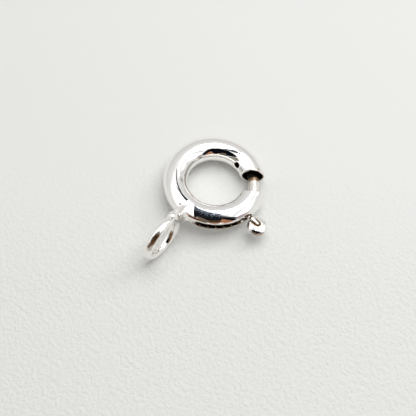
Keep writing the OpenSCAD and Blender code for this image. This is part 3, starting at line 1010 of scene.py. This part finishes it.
class MESH_OT_clasp_trigger(bpy.types.Operator):
    """Adds the stem and the flat knob with its ridge, which draw the bolt back"""
    bl_idname = "mesh.clasp_trigger"
    bl_label = "Clasp Trigger"

    STEM_SIDES = 40
    STEM_ROUND = 0.03 * MM
    STEM_SPACING = 0.05 * MM   # between the stem's rows
    STEM_SHADE = 0.5            # painted shade where the stem passes the tube's skin
    STEM_SHADE_WIDTH = 0.05 * MM
    KNOB_ROWS = 150
    KNOB_SIDES = 240

    def execute(self, context):
        s, f, m, shell = begin(context)
        axes = np.stack([around_ring(m.trigger + a, 0.0, 1.0, 0.0) for a in (0, math.pi / 2)]
                        + [np.array([0.0, 0.0, 1.0])])

        # Stem: a profile turned about the way out
        line = round_corners([(-s.stem_root, 0, 0), (-s.stem_root, m.stem, self.STEM_ROUND),
                              (m.knob_at, m.stem, self.STEM_ROUND), (m.knob_at, 0, 0)],
                             self.STEM_SPACING)[1:-1]
        around = circle(self.STEM_SIDES)
        ring = np.stack([0 * around, np.cos(around), -np.sin(around)], -1)
        points = np.array([1, 0, 0]) * (m.bend + line[:, :1, None]) + line[:, 1:, None] * ring
        # Painted shade where the stem goes into the slot
        painted_shade = self.STEM_SHADE * (1 - smooth(abs(line[:, 0] - m.skin) / self.STEM_SHADE_WIDTH))
        rows = shell.add(points @ axes, painted_shade[:, None])
        shell.skin(rows)
        shell.pole(rows[0], (m.bend - s.stem_root) * axes[0], first=True)
        shell.pole(rows[-1], (m.bend + m.knob_at) * axes[0])

        # Knob and ridge: a distance for each direction from the knob's middle
        down = (np.arange(1, self.KNOB_ROWS) * math.pi / self.KNOB_ROWS)[:, None]
        round_it = circle(self.KNOB_SIDES)
        way = np.stack([np.sin(down) * np.cos(round_it), np.sin(down) * np.sin(round_it),
                        np.cos(down) + 0 * round_it], -1)
        reach, knob = knob_reach(way, s, m)
        points = way * reach[..., None]
        middle = (m.bend + m.knob_at) * axes[0] - s.knob_drop * axes[2]
        rows = shell.add(middle + points @ axes, knob_shade_and_reflection(points, reach, knob, s, m))
        shell.skin(rows)
        for row, end in ((rows[0], 1), (rows[-1], -1)):
            tip = knob_reach(np.array([0.0, 0.0, end]), s, m)[0]
            shell.pole(row, middle + end * tip * axes[2], first=end > 0)

        trigger = shell.build("knob_trigger", polished_silver(f))
        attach(trigger, "bolt")
        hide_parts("trigger")
        return {"FINISHED"}


class MESH_OT_clasp_spring(bpy.types.Operator):
    """Adds the coil spring that pushes the bolt shut"""
    bl_idname = "mesh.clasp_spring"
    bl_label = "Clasp Spring"

    STEPS = 24   # rows for each turn
    SIDES = 10
    ENDS = np.radians([48.0, 222.0])   # turns between which it would shorten when the bolt draws back; their places are worked out below and not used

    def execute(self, context):
        s, f, m, shell = begin(context)
        count = s.spring_turns * self.STEPS
        t = np.linspace(0, s.spring_turns, count + 1)
        turn = m.coil_from + (m.coil_to - m.coil_from) * t / s.spring_turns
        line = around_ring(turn, math.tau * t, m.coil, m.bend)
        ahead = unit(np.gradient(line, axis=0))
        side = unit(np.cross(ahead, line - around_ring(turn, 0.0, 0.0, m.bend)))
        out = np.cross(side, ahead)
        around = circle(self.SIDES)[None, :, None]
        rows = shell.add(line[:, None] + s.spring_wire / 2 * (np.cos(around) * out[:, None]
                                                              - np.sin(around) * side[:, None]))
        shell.skin(rows)
        shell.pole(rows[0], line[0], first=True)
        shell.pole(rows[-1], line[-1])
        spring = shell.build("coil_spring", spring_bronze(f))
        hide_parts("spring")
        spots = to_row(around_ring(self.ENDS, 0.0, 0.0, m.bend))
        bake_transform(spring)
        return {"FINISHED"}


def camera_axes(v):
    """The camera's right, up and back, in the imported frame."""
    back = Vector((math.sin(v.view_turn) * math.cos(v.view_lift),
                   -math.cos(v.view_turn) * math.cos(v.view_lift), math.sin(v.view_lift)))
    right = Vector((0, 0, 1)).cross(back).normalized()
    return right, back.cross(right), back


def add_camera(v):
    """Camera whose optical axis passes beside the ring, so that the ring's middle lands on its pixel."""
    right, up, back = camera_axes(v)
    middle = Vector(RING_MIDDLE)
    aside = (PICTURE / 2 - v.ring_pixel[0]) / v.picture_scale * MM
    above = (v.ring_pixel[1] - PICTURE / 2) / v.picture_scale * MM
    place = middle + v.view_distance * back
    look = (place - (middle + aside * right + above * up)).normalized()
    side = Vector((0, 0, 1)).cross(look).normalized()
    turn = Matrix((side, look.cross(side), look)).transposed().to_4x4()
    data = bpy.data.cameras.new("camera")
    data.sensor_width = SENSOR
    data.lens = v.picture_scale / MM * v.view_distance * SENSOR / PICTURE
    data.clip_start, data.clip_end = CLIP
    camera = add_object("camera", data)
    camera.matrix_world = Matrix.Translation(place) @ turn
    bpy.context.scene.camera = camera


# Cards that the metal mirrors: name, colour, and corners as seen from the clasp. A corner is given in
# degrees from straight up, first to the camera's right and then away from the camera.
CARDS = (
    ("gleam_card", (1.22, 1.22, 1.20),
     ((18, 26), (40, 15), (72, 12), (82, 20), (64, 30), (44, 36), (30, 42), (18, 38))),
    ("wisp_card", (0.62, 0.62, 0.61),
     ((38, 10), (41, 10), (43, 24), (40, 40), (36, 40), (40, 24))),
    ("line_card", (0.015, 0.022, 0.045),
     ((-4, 24), (-1, 24), (3, 30.5), (8, 34.5), (12, 36), (12, 38.5), (5, 37.5), (-1, 32))),
    ("slate_card", (0.075, 0.095, 0.11),
     ((-15, -4), (-13, 4), (-9, 13), (-6, 22), (-8, 32), (-2, 34), (0, 22), (-3, 12), (-5, 2), (-4, -12),
      (-10, -12))),
    ("graphite_card", (0.045, 0.055, 0.07),
     ((10, -16), (22, -22), (29, -31), (42, -40), (58, -52), (54, -58), (44, -52), (28, -40), (14, -26))),
    ("dark_card", (0.002, 0.003, 0.006),
     ((-31, -8), (-12, -12), (10, -19), (22, -28), (32, -40), (44, -52), (62, -64), (54, -71), (40, -62),
      (24, -52), (19, -66), (8, -71), (-6, -68), (-12, -52), (-27, -43), (-31, -60), (-40, -52),
      (-40, -28))),
    ("olive_card", (0.17, 0.13, 0.09),
     ((-27, -43), (-12, -52), (-6, -68), (-14, -90), (-34, -90), (-31, -60))),
    ("russet_card", (0.12, 0.042, 0.022),
     ((-54, -46), (-42, -52), (-31, -60), (-28, -84), (-60, -88), (-72, -66))),
    ("brown_card", (0.30, 0.15, 0.085),
     ((-6, -68), (8, -71), (19, -66), (20, -90), (-14, -90))),
    ("taupe_card", (0.21, 0.19, 0.15),
     ((-35, -14), (-50, -10), (-60, -30), (-56, -44), (-46, -60), (-40, -60), (-42, -44), (-40, -26))),
    ("thread_card", (0.34, 0.35, 0.36),
     ((34, -34), (37.5, -34), (38.2, 3), (40, 20), (37.6, 20), (35, 3))),
    ("amber_card", (0.46, 0.215, 0.125),
     ((19, -46), (24, -50), (40, -62), (54, -71), (66, -84), (20, -86), (19, -58))),
    ("mauve_card", (0.33, 0.28, 0.295),
     ((52, -40), (68, -37), (98, -37), (106, -48), (106, -84), (66, -86), (62, -64), (52, -54))),
    ("stone_card", (0.36, 0.35, 0.31),
     ((-46, -32), (-40, -52), (-60, -60), (-92, -50), (-96, -36), (-70, -32))),
    ("ash_card", (0.50, 0.50, 0.46),
     ((36, 40), (46, 42), (64, 50), (70, 58), (58, 58), (42, 48))),
)
CARD_DISTANCE = 68 * MM
CARD_STEP = 0.4 * MM   # each card is nearer than the one before it
CARD_RINGS = 6
CARD_CLOUD = 60.0          # waves of a card's clouds for each metre
CARD_LIGHT = 0.75, 1.25    # brightness of its darkest and lightest clouds
CORNER_CUT = 0.25          # share of a side that each cut takes off


def add_card(name, level, right, tint, corners, distance):
    """A card on a dome round the clasp. Its outline goes round the corners, each of which is cut off
    twice at a quarter of its sides. Rings between its middle and the outline fill it, and a place's
    direction leans from straight up by as many degrees as its distance from the zenith."""
    outline = np.array(corners, float)
    for _ in range(2):
        ahead = np.roll(outline, -1, axis=0)
        outline = np.stack([(1 - CORNER_CUT) * outline + CORNER_CUT * ahead,
                            CORNER_CUT * outline + (1 - CORNER_CUT) * ahead], 1).reshape(-1, 2)
    part = np.arange(1, CARD_RINGS + 1)[:, None, None] / CARD_RINGS
    middle = outline.mean(axis=0)
    spots = np.concatenate([middle[None], (middle + part * (outline - middle)).reshape(-1, 2)])
    lean = np.radians(np.hypot(*spots.T))[:, None]
    across = unit(spots + 1e-9) @ np.array([right, -level])
    points = RING_MIDDLE + distance * (np.cos(lean) * np.array([0, 0, 1]) + np.sin(lean) * across)
    count = len(outline)
    ring = 1 + np.arange(CARD_RINGS * count).reshape(CARD_RINGS, count)
    beside = np.roll(ring, -1, axis=1)
    faces = (np.stack([np.zeros(count, int), ring[0], beside[0]], 1).tolist()
             + np.stack([ring[:-1], ring[1:], beside[1:], beside[:-1]], -1).reshape(-1, 4).tolist())
    mesh = bpy.data.meshes.new(name)
    mesh.from_pydata(points.tolist(), [], faces)
    material, tree = new_material(name)
    place = shader(tree, "TexCoord").outputs["Object"]
    cloud = ranged(tree, noise(tree, place, CARD_CLOUD, 2.0), 0.35, 0.65, *CARD_LIGHT)
    glow = shader(tree, "Emission", {"Color": rgba(tint), "Strength": cloud})
    finish_material(tree, glow.outputs[0])
    mesh.materials.append(material)
    card = add_object(name, mesh)
    card.visible_camera = card.visible_diffuse = card.visible_shadow = False


FLOOR_HALF = 0.6            # half width of the floor, in metres
GRAIN = 4200.0              # waves of the floor's grain for each metre
GRAIN_HEIGHT = 9e-5         # its height, in metres
GRAIN_FAR = 0.12            # share of it that is left on the far side
GRAIN_FADE = 0.004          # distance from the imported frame's middle, in metres, over which it fades
ROOF_LEAN = 0.62            # how much the white roof leans to the near side
ROOF_EDGE = 0.34, 0.46      # heights between which the walls turn into the roof
WALL_FOOT = -0.3            # height at which the walls have the horizon's light
FILL_CHANGE = 0.15          # how much brighter the fill is from the far side, and darker from the near
WARM = (1.0, 0.975, 0.93)   # its tone
LAMP_DISTANCE = 0.14        # distance of the two soft lamps, in metres

# Soft lamps: name, width in metres, direction to the near side and to the right for each unit up, and
# whether the metal mirrors it. The first stands high over the far side and throws the shadows towards
# the camera, and the second draws the knob's shadow aside.
SOFT_LAMPS = (("key", 0.118, -0.24, 0.20, True), ("side", 0.045, -0.65, 1.0, False))

# The narrow lamp straight over the ring's hole, as bright as the polished wall throws light there
INNER_CONE = math.radians(3.4)
INNER_WIDTH = 0.0005
INNER_PLACE = 0.0003, 0.06  # its place from the ring's middle, to the near side and up, in metres


def add_soft_lamp(name, width, near, aside, mirrored, power, level, right):
    """A round lamp that faces the ring's middle."""
    data = bpy.data.lights.new(name, "AREA")
    data.shape, data.size, data.energy = "DISK", width, power
    lamp = add_object(name, data)
    lamp.visible_glossy = mirrored
    away = (Vector((0, 0, 1)) + near * level + aside * right).normalized()
    lamp.matrix_world = (Matrix.Translation(Vector(RING_MIDDLE) + LAMP_DISTANCE * away)
                         @ away.to_track_quat("Z", "Y").to_matrix().to_4x4())


class SCENE_OT_clasp_stage(bpy.types.Operator):
    """Adds the camera, the pale floor, the soft light and the cards that the metal mirrors"""
    bl_idname = "scene.clasp_stage"
    bl_label = "Clasp Stage"

    def execute(self, context):
        v = context.scene.clasp_stage
        context.scene.view_settings.view_transform = "Standard"
        add_camera(v)
        right, _, back = camera_axes(v)
        level = Vector((back.x, back.y, 0)).normalized()

        # Pale floor whose fine grain fades out behind the clasp
        half = FLOOR_HALF
        mesh = bpy.data.meshes.new("floor")
        mesh.from_pydata([(-half, -half, 0), (half, -half, 0), (half, half, 0), (-half, half, 0)], [],
                         [(0, 1, 2, 3)])
        material, tree = new_material("pale_floor")
        place = shader(tree, "TexCoord").outputs["Object"]
        spread = shader(tree, "VectorMath", {0: place, 1: tuple(level)}, operation="DOT_PRODUCT")
        near = ranged(tree, spread.outputs["Value"], -GRAIN_FADE, GRAIN_FADE, GRAIN_FAR, 1.0)
        grain = times(tree, noise(tree, place, GRAIN, 2.0, 0.6), near)
        bump = shader(tree, "Bump", {"Height": grain, "Strength": 1.0, "Distance": GRAIN_HEIGHT})
        bsdf = shader(tree, "BsdfPrincipled", {"Base Color": rgba(v.floor), "Roughness": 0.6,
                                               "Specular IOR Level": 0.3, "Normal": bump.outputs[0]})
        finish_material(tree, bsdf.outputs[0])
        mesh.materials.append(material)
        floor = add_object("floor", mesh)

        # World: pale walls on the far side and a white roof, and softer light for what isn't a mirror
        world = bpy.data.worlds.new("studio")
        world.use_nodes = True
        tree = world.node_tree
        tree.nodes.clear()
        direction = shader(tree, "TexCoord").outputs["Generated"]
        toward = shader(tree, "VectorMath", {0: direction, 1: tuple(level)}, operation="DOT_PRODUCT")
        height = shader(tree, "VectorMath", {0: direction, 1: tuple(ROOF_LEAN * level + Vector((0, 0, 1)))},
                        operation="DOT_PRODUCT").outputs["Value"]
        walls = ranged(tree, height, WALL_FOOT, ROOF_EDGE[0], v.horizon_light, v.wall_light)
        roof = ranged(tree, height, *ROOF_EDGE, 0.0, v.roof_light - v.wall_light)
        mirrored = sum_of(tree, walls, roof)
        soft = ranged(tree, toward.outputs["Value"], -1.0, 1.0, v.fill_light * (1 + FILL_CHANGE),
                      v.fill_light * (1 - FILL_CHANGE))
        seen_by = shader(tree, "LightPath").outputs["Is Diffuse Ray"]
        strength = shader(tree, "Mix", {"Factor": seen_by}, data_type="FLOAT")
        tree.links.new(mirrored, strength.inputs[2])
        tree.links.new(soft, strength.inputs[3])
        tone = mixed(tree, seen_by, rgba((1, 1, 1)), rgba(WARM))
        light = shader(tree, "Background", {"Color": tone, "Strength": strength.outputs[0]})
        shader(tree, "OutputWorld", {"Surface": light.outputs[0]})
        context.scene.world = world

        for lamp, power in zip(SOFT_LAMPS, (v.key_light, v.side_light)):
            add_soft_lamp(*lamp, power * MM, level, right)
        data = bpy.data.lights.new("inner", "SPOT")
        data.energy, data.spot_size, data.spot_blend = v.inner_light * MM, INNER_CONE, 1.0
        data.shadow_soft_size = INNER_WIDTH
        lamp = add_object("inner", data)
        lamp.visible_glossy = False
        near, above = INNER_PLACE
        lamp.matrix_world = Matrix.Translation(Vector(RING_MIDDLE) + Vector((0, 0, above)) + near * level)

        for index, (name, tint, corners) in enumerate(CARDS):
            add_card(name, level, right, tint, corners, CARD_DISTANCE - index * CARD_STEP)
        return {"FINISHED"}


class VIEW3D_PT_clasp(bpy.types.Panel):
    """Sizes, finish and pieces of the clasp"""
    bl_label = "Spring Ring Clasp"
    bl_space_type = "VIEW_3D"
    bl_region_type = "UI"
    bl_category = "Clasp"

    def draw(self, context):
        for operator in OPERATORS:
            self.layout.operator(operator.bl_idname)
        for group in (context.scene.clasp_sizes, context.scene.clasp_finish, context.scene.clasp_stage):
            box = self.layout.box()
            for name in group.__annotations__:
                box.prop(group, name)


OPERATORS = (MESH_OT_clasp_ring, MESH_OT_clasp_bolt, MESH_OT_clasp_trigger, MESH_OT_clasp_spring,
             SCENE_OT_clasp_stage)
GROUPS = {"clasp_sizes": ClaspSizes, "clasp_finish": ClaspFinish, "clasp_stage": ClaspStage}


def register():
    for kind in (*GROUPS.values(), *OPERATORS, VIEW3D_PT_clasp):
        bpy.utils.register_class(kind)
    for name, group in GROUPS.items():
        setattr(bpy.types.Scene, name, PointerProperty(type=group))


def unregister():
    for name in GROUPS:
        delattr(bpy.types.Scene, name)
    for kind in (VIEW3D_PT_clasp, *reversed(OPERATORS), *reversed(tuple(GROUPS.values()))):
        bpy.utils.unregister_class(kind)


def main():
    register()
    bpy.ops.mesh.clasp_ring()
    bpy.ops.mesh.clasp_bolt()
    bpy.ops.mesh.clasp_trigger()
    bpy.ops.mesh.clasp_spring()
    bpy.ops.scene.clasp_stage()


if __name__ == "__main__":
    main()
